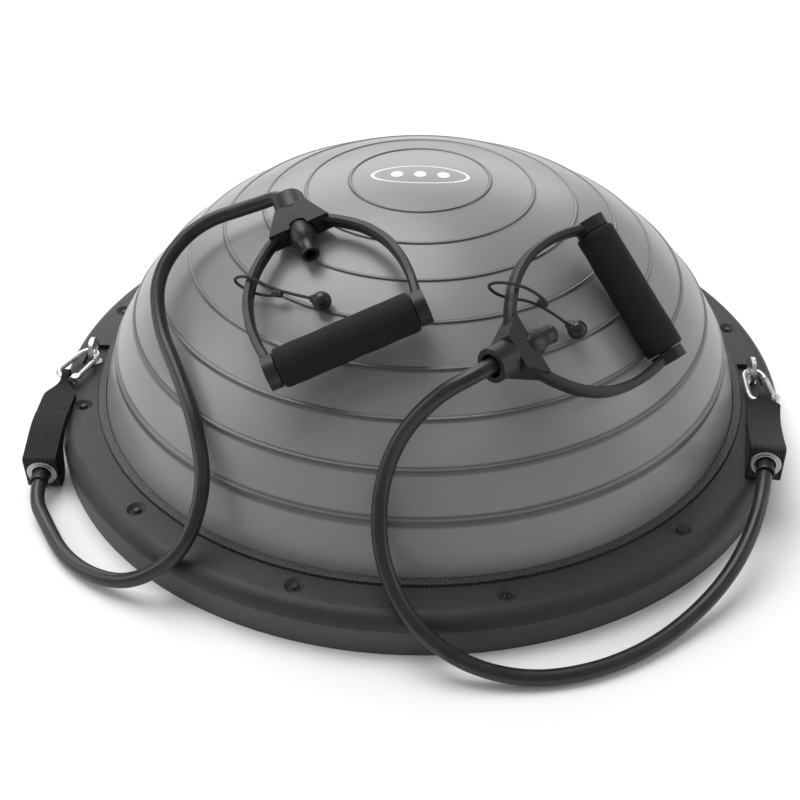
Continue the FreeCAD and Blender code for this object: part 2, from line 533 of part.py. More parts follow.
    # Lanyard: a thin cord looped over one arm, with a moulded ball at its end.
    tag = [hand.multVec(V(*p)) for p in s["tag"]]
    parts[side + "_lanyard_cord"] = cord(side + "_lanyard_cord", tag, D["CordRadius"])
    first, second = V(*s["tag"][0]), V(*s["tag"][1])
    towards = (first - second).normalize()
    knob = Part.makeSphere(D["BallRadius"], V(*s["ball"]))
    neck = Part.makeCone(3.6, 2.0, 3.2, first + towards * 3.2, towards * -1.0)
    knob = knob.fuse(neck)
    parts[side + "_lanyard_ball"] = solid(side + "_lanyard_ball", placed(knob, hand))
doc.recompute()

for obj in doc.Objects:
    if {"Invalid", "Error"} & set(obj.State):
        raise RuntimeError("feature failed: " + obj.Label)
os.makedirs("parts", exist_ok=True)
for name, obj in parts.items():
    obj.Label = name
    shape = obj.Shape
    if shape.isNull() or not shape.isValid():
        raise RuntimeError("bad shape: " + name)
    shape.exportStep("parts/%s.step" % name)
    print("%-22s solids %2d volume %10.1f mm3" % (name, len(shape.Solids), shape.Volume))
for side, s in SIDES.items():
    hook, web, hand = (placements[side + key] for key in ("_hook", "_web", "_handle"))
    rows = {"eye": hook.Base, "bar": hook.multVec(V(s["bar_x"], 41, 0)),
            "bar_dir": hook.Rotation.multVec(V(1, 0, 0)), "hook_z": hook.Rotation.multVec(V(0, 0, 1)),
            "pivot": hook.multVec(V(10.6, 38, 0)), "start": s["tube_start"],
            "start_dir": s["tube_dir"], "grommet": web.multVec(V(s["grommet"][0], s["grommet"][1], 0)),
            "mouth": hand.multVec(V(0, 147.5, 0)), "hand": hand.Base,
            "hand_x": hand.Rotation.multVec(V(1, 0, 0)), "hand_y": hand.Rotation.multVec(V(0, 1, 0)),
            "hand_z": hand.Rotation.multVec(V(0, 0, 1)), "tag_at": hand.multVec(V(*s["tag_at"])),
            "tag_axis": hand.Rotation.multVec(V(*s["tag_along"])),
            "ball": hand.multVec(V(*s["ball"])), "web_u": web.Rotation.multVec(V(1, 0, 0))}
    for key, value in rows.items():
        print(side, key, "(%.4f, %.4f, %.4f)" % tuple(value))
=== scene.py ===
"""Looks of a balance dome trainer with two elastic tubes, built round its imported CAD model."""

import json
import logging
import math
from dataclasses import dataclass, field
from enum import Enum
from typing import Any, Sequence

import bpy
from mathutils import Matrix, Vector, noise

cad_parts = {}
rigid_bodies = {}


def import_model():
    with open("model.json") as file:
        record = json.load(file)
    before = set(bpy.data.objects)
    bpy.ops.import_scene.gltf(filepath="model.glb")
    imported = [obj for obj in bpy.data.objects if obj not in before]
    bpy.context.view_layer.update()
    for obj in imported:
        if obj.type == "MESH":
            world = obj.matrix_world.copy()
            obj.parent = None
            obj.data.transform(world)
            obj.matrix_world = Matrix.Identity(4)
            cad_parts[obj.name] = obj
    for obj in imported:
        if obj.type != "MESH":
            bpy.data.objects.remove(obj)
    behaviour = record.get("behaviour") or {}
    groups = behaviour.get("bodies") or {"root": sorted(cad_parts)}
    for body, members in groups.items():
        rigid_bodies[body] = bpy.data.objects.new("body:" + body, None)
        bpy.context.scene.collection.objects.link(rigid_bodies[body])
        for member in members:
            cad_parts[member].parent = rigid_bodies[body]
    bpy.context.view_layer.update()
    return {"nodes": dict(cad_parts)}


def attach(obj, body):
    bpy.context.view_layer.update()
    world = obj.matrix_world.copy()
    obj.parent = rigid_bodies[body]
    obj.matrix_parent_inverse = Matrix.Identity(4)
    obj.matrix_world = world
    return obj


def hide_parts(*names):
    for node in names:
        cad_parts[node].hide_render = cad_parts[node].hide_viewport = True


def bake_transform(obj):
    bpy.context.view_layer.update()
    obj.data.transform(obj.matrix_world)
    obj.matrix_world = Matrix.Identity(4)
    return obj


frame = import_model()
LOG = logging.getLogger("balance_dome")
MM = 0.001
Point = Sequence[float]

# How far a surface pattern rises at full strength, in metres.
FINE_RELIEF = 0.0003
SKIN_RELIEF = 0.0004
WEAVE_RELIEF = 0.0005


class Side(Enum):
    """The two sides of the trainer that carry a tube."""

    LEFT = "left"
    RIGHT = "right"


# --------------------------------------------------------------------------- shader helpers
class Value:
    """A node socket that takes part in Python arithmetic."""

    def __init__(self, shader: "Shader", socket: Any) -> None:
        """Keep the socket and the shader it belongs to."""
        self.shader = shader
        self.socket = socket

    def _math(self, operation: str, first: Any, second: Any) -> "Value":
        """Add one Math node.

        Args:
            operation: the Math node's operation.
            first: first operand.
            second: second operand.

        Returns:
            The node's result.
        """
        return self.shader.node("ShaderNodeMath", {"operation": operation}, {0: first, 1: second})

    def __add__(self, other: Any) -> "Value":
        """Sum."""
        return self._math("ADD", self, other)

    def __sub__(self, other: Any) -> "Value":
        """Difference."""
        return self._math("SUBTRACT", self, other)

    def __rsub__(self, other: Any) -> "Value":
        """Reflected difference."""
        return self._math("SUBTRACT", other, self)

    def __mul__(self, other: Any) -> "Value":
        """Product."""
        return self._math("MULTIPLY", self, other)

    def __pow__(self, other: Any) -> "Value":
        """Power."""
        return self._math("POWER", self, other)

    def __gt__(self, other: Any) -> "Value":
        """One where the value is larger."""
        return self._math("GREATER_THAN", self, other)

    def __abs__(self) -> "Value":
        """Absolute value."""
        return self._math("ABSOLUTE", self, 0.0)

    def sine(self) -> "Value":
        """Sine of the value."""
        return self._math("SINE", self, 0.0)

    __radd__ = __add__
    __rmul__ = __mul__


class Shader:
    """A material and the nodes that are added to it."""

    def __init__(self, name: str) -> None:
        """Start an empty material with a Principled shader."""
        self.material = bpy.data.materials.new(name)
        self.material.use_nodes = True
        self.tree = self.material.node_tree
        self.tree.nodes.clear()
        self.out = self.tree.nodes.new("ShaderNodeOutputMaterial")
        self.skin = self.tree.nodes.new("ShaderNodeBsdfPrincipled")
        self.tree.links.new(self.skin.outputs[0], self.out.inputs[0])

    def sheen(self, specular: float) -> None:
        """Set the strength of the plain reflection."""
        self.skin.inputs["Specular IOR Level"].default_value = specular

    def mix(self, share: Value, first: Any, second: Any) -> Value:
        """Colour that goes from first to second with a share of 0 to 1."""
        return self.node("ShaderNodeMix", {"data_type": "RGBA"}, {0: share, 6: first, 7: second}, 2)

    def node(self, kind: str, settings: dict, inputs: dict, output: Any = 0) -> Value:
        """Add a node.

        Args:
            kind: node type.
            settings: properties set first; "stops" fills a colour ramp.
            inputs: socket name or index to a number, tuple or Value.
            output: which output to return.

        Returns:
            The chosen output as a Value.
        """
        made = self.tree.nodes.new(kind)
        for key, value in settings.items():
            if key == "stops":
                ramp = made.color_ramp
                while len(ramp.elements) < len(value):
                    ramp.elements.new(0.5)
                for element, (place, colour) in zip(ramp.elements, value):
                    element.position = place
                    element.color = colour
            else:
                setattr(made, key, value)
        for key, value in inputs.items():
            self.feed(made.inputs[key], value)
        return Value(self, made.outputs[output])

    def feed(self, socket: Any, value: Any) -> None:
        """Link a Value into a socket, or set the socket's constant."""
        if isinstance(value, Value):
            self.tree.links.new(value.socket, socket)
        else:
            socket.default_value = value

    def place(self) -> Value:
        """Object coordinates, in metres."""
        return self.node("ShaderNodeTexCoord", {}, {}, "Object")

    def axis(self, vector: Value, which: str) -> Value:
        """One component of a vector: X, Y or Z."""
        return self.node("ShaderNodeSeparateXYZ", {}, {0: vector}, which)

    def grain(self, vector: Value, scale: float, detail: float = 2.0, rough: float = 0.5) -> Value:
        """Noise value at a number of cells per metre."""
        return self.node("ShaderNodeTexNoise", {}, {"Vector": vector, "Scale": scale,
                                                    "Detail": detail, "Roughness": rough})

    def cells(self, vector: Value, scale: float) -> Value:
        """Distance to the nearest cell centre, for a number of cells per metre."""
        return self.node("ShaderNodeTexVoronoi", {"feature": "F1"},
                         {"Vector": vector, "Scale": scale})

    def ramp(self, value: Value, low: tuple, high: tuple, start: float, end: float) -> Value:
        """Colour that goes from low to high between two values."""
        return self.node("ShaderNodeValToRGB", {"stops": [(start, low), (end, high)]}, {0: value})

    def tones(self, value: Value, level: float, low: float, high: float,
              start: float = 0.3, end: float = 0.7) -> Value:
        """Neutral tone from low to high times a level, between two values."""
        return self.ramp(value, grey(level * low), grey(level * high), start, end)

    def span(self, value: Value, low: float, high: float,
             start: float = 0.0, end: float = 1.0) -> Value:
        """Value mapped and clamped from start..end to low..high."""
        return self.node("ShaderNodeMapRange", {"clamp": True}, {
            "Value": value, "From Min": start, "From Max": end, "To Min": low, "To Max": high})

    def bump(self, height: Value, strength: float, distance: float) -> None:
        """Send a height to the shader's normal."""
        self.feed(self.skin.inputs["Normal"], self.node("ShaderNodeBump", {}, {
            "Height": height, "Strength": strength, "Distance": distance}))

    def set(self, **values: Any) -> None:
        """Set sockets of the Principled shader; underscores stand for spaces."""
        for key, value in values.items():
            self.feed(self.skin.inputs[key.replace("_", " ")], value)


def grey(level: float, warm: float = 0.0) -> tuple:
    """A neutral colour, warmed or cooled a little."""
    return (level * (1 + warm), level, level * (1 - warm), 1.0)


# --------------------------------------------------------------------------- finishes
class Finish:
    """Base of all finishes: makes its material once."""

    def material(self) -> Any:
        """The finish's material, made the first time it is asked for."""
        key = repr(self)
        if key not in _MADE:
            _MADE[key] = self.build()
        return _MADE[key]

    def build(self) -> Any:
        """Make the material."""
        raise NotImplementedError


_MADE: dict = {}


@dataclass(frozen=True)
class LeatherGrain(Finish):
    """Moulded plastic with a fine leather grain."""

    name: str = "ring_plastic"
    level: float = 0.02
    cells: float = 900.0
    rough: float = 0.42
    depth: float = 0.35
    speck: float = 0.0
    collar: float = 0.0
    collar_edge: float = 0.0002
    painted_glint: float = 7.0

    def build(self) -> Any:
        """Cell pattern for the grain, finer noise over it and painted glints as bright specks on
        the collar.
        """
        s = Shader(self.name)
        at = s.place()
        cell = s.cells(at, self.cells)
        fine = s.grain(at, self.cells * 2.3, 3.0, 0.6)
        worn = s.grain(at, 9.0, 3.0)
        tone = s.span(worn + fine * 0.5 + cell * self.speck, 0.75, 1.3, 0.4, 1.1)
        body = s.tones(tone, self.level, 0.7, 1.35, 0.7, 1.35)
        # Painted glints: specks inside the collar's radius are raised to a much lighter grey.
        if self.collar:
            x, y = s.axis(at, "X"), s.axis(at, "Y")
            reach = (x * x + y * y) ** 0.5
            specks = s.span(s.grain(at, 900.0, 2.0, 0.7), 0.0, 1.0, 0.48, 0.66)
            inner, outer = self.collar - self.collar_edge, self.collar + self.collar_edge
            share = s.span(reach, 1.0, 0.0, inner, outer) * specks
            body = s.mix(share, body, grey(self.level * self.painted_glint))
        s.set(Base_Color=body)
        s.sheen(0.32)
        s.set(Roughness=s.span(worn + cell * 0.3, self.rough - 0.06, self.rough + 0.10, 0.3, 0.9))
        s.bump(cell * 0.8 + fine * 0.5, self.depth, SKIN_RELIEF)
        return s.material


@dataclass(frozen=True)
class InflatedVinyl(Finish):
    """Semi-gloss flexible vinyl of the dome."""

    name: str = "dome_vinyl"
    level: float = 0.23
    # Tone of the painted shade at the ridge feet, as a share of the level.
    foot_shade_tone: float = 0.16
    oval: tuple = (0.037, 0.0145)
    line: float = 0.035
    dots: tuple = (-0.018, 0.0, 0.018)
    dot: float = 0.0048
    ink: float = 0.8
    printed_above: float = 0.1

    def build(self) -> Any:
        """Even grey with a soft cloudiness, painted shade at the ridge feet and a printed oval with
        three dots.
        """
        s = Shader(self.name)
        at = s.place()
        cloud = s.grain(at, 5.0, 2.0)
        pores = s.grain(at, 1600.0, 2.0)
        shade, light = grey(self.level * 0.93, -0.012), grey(self.level * 1.07, -0.008)
        skin = s.ramp(cloud, shade, light, 0.3, 0.7)
        # Painted shade: the vinyl turns darker along the feet of the ridges, where shade falls.
        foot = s.node("ShaderNodeAttribute", {"attribute_name": "ridge_foot"}, {}, "Fac")
        skin = s.mix(foot, skin, grey(self.level * self.foot_shade_tone))
        x, y = s.axis(at, "X"), s.axis(at, "Y")
        wide, deep = self.oval
        oval = ((x * x) * (1 / wide ** 2) + (y * y) * (1 / deep ** 2)) ** 0.5
        print_mask = 1.0 - (abs(oval - 1.0) > self.line)
        for middle in self.dots:
            off = x - middle
            print_mask = print_mask + (1.0 - ((off * off + y * y) ** 0.5 > self.dot))
        above = s.axis(at, "Z") > self.printed_above
        s.set(Base_Color=s.mix(print_mask * above, skin, grey(self.ink)))
        s.set(Roughness=s.span(cloud + pores * 0.15, 0.30, 0.40, 0.35, 0.8))
        s.set(Coat_Weight=0.12, Coat_Roughness=0.25)
        s.bump(pores + s.grain(at, 14.0, 1.0) * 2.0, 0.05, SKIN_RELIEF)
        return s.material


@dataclass(frozen=True)
class PlatedSteel(Finish):
    """Bright or dull zinc plated steel."""

    name: str = "bright_steel"
    level: float = 0.72
    rough: float = 0.16
    knurl: float = 0.0

    def build(self) -> Any:
        """Plating with faint clouds, draw lines and, where asked, a knurl."""
        s = Shader(self.name)
        at = s.place()
        cloud = s.grain(at, 240.0, 3.0)
        lines = s.grain(at, 1800.0, 2.0)
        s.set(Base_Color=s.tones(cloud, self.level, 0.82, 1.05))
        s.set(Metallic=1.0, Roughness=s.span(cloud, self.rough, self.rough + 0.14, 0.35, 0.7))
        height = lines
        if self.knurl:
            wave = (s.axis(at, "Y") * self.knurl).sine() * (s.axis(at, "X") * self.knurl).sine()
            height = lines * 0.3 + wave
        s.bump(height, 0.5 if self.knurl else 0.06, SKIN_RELIEF)
        return s.material


@dataclass(frozen=True)
class WovenWebbing(Finish):
    """Ribbed polyester webbing; its UV map is in metres along and across the band."""

    name: str = "webbing"
    level: float = 0.011
    rib_turns: float = 1496.0
    weft_turns: float = 3400.0

    def build(self) -> Any:
        """Ribs that run along the band, a fine weft across them and a fuzzy tone."""
        s = Shader(self.name)
        uv = s.node("ShaderNodeUVMap", {"uv_map": "band"}, {})
        along, across = s.axis(uv, "X"), s.axis(uv, "Y")
        rib = abs((across * self.rib_turns + (along * 900.0).sine() * 0.12).sine())
        weft = abs((along * self.weft_turns).sine())
        weave = rib * 0.8 + weft * 0.25
        fuzz = s.grain(s.place(), 2600.0, 3.0)
        s.set(Base_Color=s.tones(weave + fuzz * 0.35, self.level, 0.3, 3.4, 0.35, 1.25))
        s.set(Roughness=0.72)
        s.sheen(0.15)
        s.bump(weave + fuzz * 0.3, 0.8, WEAVE_RELIEF)
        return s.material


@dataclass(frozen=True)
class SmoothRubber(Finish):
    """Dipped latex or moulded rubber."""

    name: str = "tube_rubber"
    level: float = 0.028
    rough: float = 0.30

    def build(self) -> Any:
        """Dark rubber with a soft bloom and slow waviness."""
        s = Shader(self.name)
        at = s.place()
        bloom = s.grain(at, 60.0, 3.0)
        fine = s.grain(at, 1500.0, 2.0)
        s.set(Base_Color=s.tones(bloom, self.level, 0.8, 1.3, 0.3, 0.75))
        gloss, dull = self.rough - 0.05, self.rough + 0.12
        s.set(Roughness=s.span(bloom + fine * 0.2, gloss, dull, 0.35, 0.85))
        s.sheen(0.4)
        s.bump(fine * 0.4 + bloom, 0.10, SKIN_RELIEF)
        return s.material


@dataclass(frozen=True)
class SatinNylon(Finish):
    """Moulded nylon of the yokes."""

    name: str = "yoke_plastic"
    level: float = 0.011
    rough: float = 0.40

    def build(self) -> Any:
        """Satin skin with a fine spark-eroded texture."""
        s = Shader(self.name)
        at = s.place()
        cloud = s.grain(at, 45.0, 2.0)
        fine = s.grain(at, 2400.0, 2.0)
        s.set(Base_Color=s.tones(cloud, self.level, 0.88, 1.15))
        s.set(Roughness=s.span(cloud + fine * 0.3, self.rough - 0.04, self.rough + 0.10, 0.4, 0.9))
        s.sheen(0.38)
        s.bump(fine, 0.16, FINE_RELIEF)
        return s.material


@dataclass(frozen=True)
class CellFoam(Finish):
    """Closed cell foam with its fine pinholes."""

    name: str = "foam"
    level: float = 0.0075

    def build(self) -> Any:
        """Speckled dark foam."""
        s = Shader(self.name)
        at = s.place()
        cells = s.cells(at, 1500.0)
        specks = s.grain(at, 1300.0, 2.0, 0.7)
        light = s.span(specks, 0.0, 1.0, 0.60, 0.72)
        s.set(Base_Color=s.tones(light, self.level, 1.0, 6.0, 0.0, 1.0))
        s.sheen(0.25)
        s.set(Roughness=s.span(cells, 0.62, 0.85, 0.0, 0.8))
        s.bump(cells + specks * 0.5 + s.grain(at, 120.0, 2.0) * 2.0, 0.5, SKIN_RELIEF)
        return s.material


@dataclass(frozen=True)
class GlossMoulding(Finish):
    """Hard glossy plastic."""

    name: str = "ball_plastic"
    level: float = 0.012

    def build(self) -> Any:
        """Deep black with a clear gloss."""
        s = Shader(self.name)
        at = s.place()
        cloud = s.grain(at, 300.0, 2.0)
        s.set(Base_Color=s.tones(cloud, self.level, 1.0, 1.6))
        s.sheen(0.4)
        s.set(Roughness=s.span(cloud, 0.22, 0.32, 0.3, 0.7))
        s.bump(cloud, 0.04, FINE_RELIEF)
        return s.material


@dataclass(frozen=True)
class BraidedCord(Finish):
    """Thin braided lanyard."""

    name: str = "cord_fabric"
    level: float = 0.02
    lay: float = 380.0
    strands: float = 19.0

    def build(self) -> Any:
        """Crossed waves for the braid, read off the cord's own UV map."""
        s = Shader(self.name)
        uv = s.node("ShaderNodeUVMap", {"uv_map": "UVMap"}, {})
        along, across = s.axis(uv, "X"), s.axis(uv, "Y")
        run, round_it = along * self.lay, across * self.strands
        braid = (run + round_it).sine() * (run - round_it).sine()
        fuzz = s.grain(s.place(), 3000.0, 2.0)
        s.set(Base_Color=s.tones(braid + fuzz * 0.6, self.level, 0.6, 2.0, 0.0, 1.2))
        s.set(Roughness=0.7)
        s.bump(braid + fuzz * 0.3, 0.6, SKIN_RELIEF)
        return s.material


@dataclass(frozen=True)
class PaleFloor(Finish):
    """Plain pale studio floor."""

    name: str = "studio_floor"

    def build(self) -> Any:
        """Matt near-white."""
        s = Shader(self.name)
        s.set(Base_Color=(0.93, 0.93, 0.93, 1.0), Roughness=0.9)
        return s.material


# The clamp ring carries painted glints on its collar.
BLACK_RING = LeatherGrain("ring_plastic", 0.020, 1150.0, 0.44, 0.60, 0.2, 0.268)
SKIRT = LeatherGrain("tray_plastic", 0.045, 800.0, 0.48, 0.55, 0.3)
VINYL = InflatedVinyl()
BRIGHT = PlatedSteel("bright_steel", 0.62, 0.27)
KNURLED = PlatedSteel("bright_steel_knurled", 0.60, 0.28, 9000.0)
RIM_STEEL = PlatedSteel("bright_steel_rim", 0.42, 0.30)
DULL = PlatedSteel("dark_steel", 0.42, 0.30)
RIVET_BLACK = SatinNylon("black_steel", 0.012, 0.24)
WEBBING = WovenWebbing()
TUBE_SKIN = SmoothRubber("tube_rubber", 0.018, 0.30)
SOFT_RUBBER = SmoothRubber("soft_rubber", 0.013, 0.42)
NYLON = SatinNylon()
FOAM = CellFoam()
GLOSS = GlossMoulding()
# Darker copy of the tube rubber for the swollen end under the hood: painted shade.
SHADED_BULB_SKIN = SmoothRubber("tube_rubber_end", 0.010, 0.34)
CORD = BraidedCord()
CORD_THREAD = SmoothRubber("thread", 0.045, 0.55)


# --------------------------------------------------------------------------- modelling helpers
def only(piece: Any) -> None:
    """Select one object alone and make it active."""
    for other in bpy.context.view_layer.objects:
        if other.select_get():
            other.select_set(False)
    piece.select_set(True)
    bpy.context.view_layer.objects.active = piece


def settle(piece: Any, place: Matrix) -> None:
    """Move a finished mesh to its place; its object stays at the origin."""
    piece.data.transform(place @ piece.matrix_world)
    piece.matrix_world = Matrix.Identity(4)
    if place.determinant() < 0:
        piece.data.flip_normals()


def dress(piece: Any, finish: Finish) -> None:
    """Give a piece its only material."""
    piece.data.materials.clear()
    piece.data.materials.append(finish.material())


def soften(piece: Any, angle: float = 35.0) -> None:
    """Shade a piece smooth except over sharp edges."""
    only(piece)
    bpy.ops.object.shade_smooth_by_angle(angle=math.radians(angle))


def turned(name: str, profile: Sequence[Point], steps: int = 48, closed: bool = True) -> Any:
    """Turn a piece on the Z axis, ring by ring, from (radius, height) pairs in millimetres.

    Args:
        name: the piece's name.
        profile: the outline, outside face on the right while going up.
        steps: how many sides the turning has.
        closed: whether the last ring joins the first.

    Returns:
        The new mesh object.
    """
    for other in list(bpy.context.selected_objects):
        other.select_set(False)
    radius, height = profile[0]
    bpy.ops.mesh.primitive_circle_add(vertices=steps, radius=max(radius, 0.001) * MM,
                                      location=(0, 0, height * MM))
    piece = bpy.context.active_object
    piece.name = piece.data.name = name
    only(piece)
    bpy.ops.object.mode_set(mode="EDIT")
    bpy.ops.mesh.select_all(action="SELECT")
    points = list(profile[1:]) + ([profile[0]] if closed else [])
    for nextr, nextz in points:
        scale = max(nextr, 0.001) / max(radius, 0.001)
        bpy.ops.mesh.extrude_edges_move()
        bpy.ops.transform.resize(value=(scale, scale, 1.0), center_override=(0.0, 0.0, 0.0))
        bpy.ops.transform.translate(value=(0.0, 0.0, (nextz - height) * MM))
        radius, height = nextr, nextz
    bpy.ops.mesh.select_all(action="SELECT")
    bpy.ops.mesh.remove_doubles(threshold=0.000004)
    bpy.ops.mesh.normals_make_consistent(inside=False)
    bpy.ops.object.mode_set(mode="OBJECT")
    bpy.ops.object.transform_apply(location=True, rotation=True, scale=True)
    return piece


def axes(origin: Point, x: Point, y: Point) -> Matrix:
    """Matrix of a local frame from its origin in millimetres and two directions."""
    ax = Vector(x).normalized()
    az = ax.cross(Vector(y)).normalized()
    ay = az.cross(ax)
    turn = Matrix((ax, ay, az)).transposed().to_4x4()
    turn.translation = Vector(origin) * MM
    return turn


def along(origin: Vector, direction: Vector) -> Matrix:
    """Matrix that takes local Z to a direction, at a place in metres."""
    turn = direction.normalized().to_track_quat("Z", "Y").to_matrix().to_4x4()
    turn.translation = origin
    return turn


def spline(name: str, points: Sequence[Vector], radius: float) -> tuple:
    """A smooth round cord through control points.

    Args:
        name: the piece's name.
        points: the route's control points, in metres.
        radius: the cord's radius in metres.

    Returns:
        The mesh tube and the points its centreline follows.
    """
    curve = bpy.data.curves.new(name, "CURVE")
    curve.dimensions = "3D"
    run = curve.splines.new("NURBS")
    run.points.add(len(points) - 1)
    for knot, place in zip(run.points, points):
        knot.co = (place.x, place.y, place.z, 1.0)
    run.order_u = 3
    run.use_endpoint_u = True
    curve.resolution_u = 14
    holder = bpy.data.objects.new(name, curve)
    bpy.context.scene.collection.objects.link(holder)
    line = bpy.data.meshes.new_from_object(holder)
    path = [v.co.copy() for v in line.vertices]
    bpy.data.meshes.remove(line)
    curve.bevel_depth = radius
    curve.bevel_resolution = 8
    curve.use_fill_caps = True
    only(holder)
    bpy.ops.object.convert(target="MESH")
    piece = bpy.context.active_object
    piece.name = piece.data.name = name
    bpy.ops.object.mode_set(mode="EDIT")
    bpy.ops.mesh.select_all(action="SELECT")
    bpy.ops.mesh.remove_doubles(threshold=0.000002)
    bpy.ops.mesh.normals_make_consistent(inside=False)
    bpy.ops.object.mode_set(mode="OBJECT")
    soften(piece, 50.0)
    return piece, path


# --------------------------------------------------------------------------- the base
@dataclass
class BaseGroup:
    """Tray, clamp ring, rivets, pads and valve: CAD solids with their finishes."""

    finishes: dict = field(default_factory=lambda: {
        "base_tray": SKIRT, "clamp_ring": BLACK_RING, "ring_rivets": RIVET_BLACK,
        "valve_seat": SOFT_RUBBER, "valve_plug": SOFT_RUBBER, "foot_pads": SOFT_RUBBER})

    def build(self) -> int:
        """Dress the solids; returns how many were dressed."""
        for name, finish in self.finishes.items():
            node = frame["nodes"][name]
            node.data.materials.clear()
            node.data.materials.append(finish.material())
        return len(self.finishes)


@dataclass
class Dome:
    """The inflated dome with its moulded ridges, turned from its profile."""

    radius: float = 264.5
    height: float = 210.1
    centre: float = 1.8
    skin: float = 3.0
    seat: float = 18.0
    bead: float = 270.5
    hole: float = 14.0
    ridges: tuple = (54.3, 88.2, 121.3, 152.8, 182.1, 208.4, 230.8, 248.3)
    ridge_width: float = 2.6
    ridge_height: float = 1.0
    ridge_outline: tuple = ((-1.7, 0.0), (-1.0, 0.06), (-0.62, 0.62), (-0.3, 0.94), (0.0, 1.0),
                            (0.3, 0.94), (0.62, 0.62), (1.0, 0.06), (1.7, 0.0))
    outside_steps: int = 84
    inside_steps: int = 20
    sides: int = 240

    def place(self, t: float, lift: float = 0.0, less: float = 0.0) -> tuple:
        """Profile point at an ellipse parameter, lifted off the surface in millimetres."""
        a, b = self.radius - less, self.height - less
        nx, nz = math.cos(t) / a, math.sin(t) / b
        size = math.hypot(nx, nz)
        return (a * math.cos(t) + lift * nx / size,
                self.centre + b * math.sin(t) + lift * nz / size)

    def profile(self) -> list:
        """Outline of the skin from the bead up over the crown and back inside."""
        low = math.asin((self.seat + self.skin - self.centre) / self.height)
        steps, crown = self.outside_steps, math.pi / 2
        marks = [(low + (crown - low) * i / steps, 0.0) for i in range(steps + 1)]
        for ridge in self.ridges:
            for share, rise in self.ridge_outline:
                r = ridge - share * self.ridge_width / 2
                marks = [m for m in marks if m[1] > 0 or abs(
                    self.radius * math.cos(m[0]) - ridge) > self.ridge_width * 1.1 or m[0] > 1.5]
                marks.append((math.acos(r / self.radius), rise * self.ridge_height + 1e-9))
        marks.sort()
        outline = [(self.bead, self.seat), (self.bead, self.seat + self.skin)]
        outline += [self.place(t, lift) for t, lift in marks]
        inside = math.asin((self.seat + self.skin - self.centre) / (self.height - self.skin))
        for i in range(self.inside_steps, -1, -1):
            t = inside + (crown - inside) * i / self.inside_steps
            outline.append(self.place(t, 0.0, self.skin))
        outline += [(self.hole, self.seat + self.skin), (self.hole, self.seat)]
        return outline

    def build(self) -> Any:
        """Turn the dome, mark the feet of its ridges for painted shade and give it its vinyl."""
        piece = turned("dome_skin", self.profile(), self.sides)
        soften(piece, 40.0)
        # Mask of the painted shade: one at both feet of every ridge, fading to nothing between.
        foot = piece.data.attributes.new("ridge_foot", "FLOAT", "POINT")
        for vertex in piece.data.vertices:
            reach = math.hypot(vertex.co.x, vertex.co.y) / MM
            off = min(abs(abs(reach - ridge) / self.ridge_width * 2 - 0.8) for ridge in self.ridges)
            if vertex.co.z / MM > self.seat + self.skin + 1.0:
                foot.data[vertex.index].value = max(0.0, 1.0 - off / 0.9)
        dress(piece, VINYL)
        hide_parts("dome_bladder")
        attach(piece, "base")
        return piece


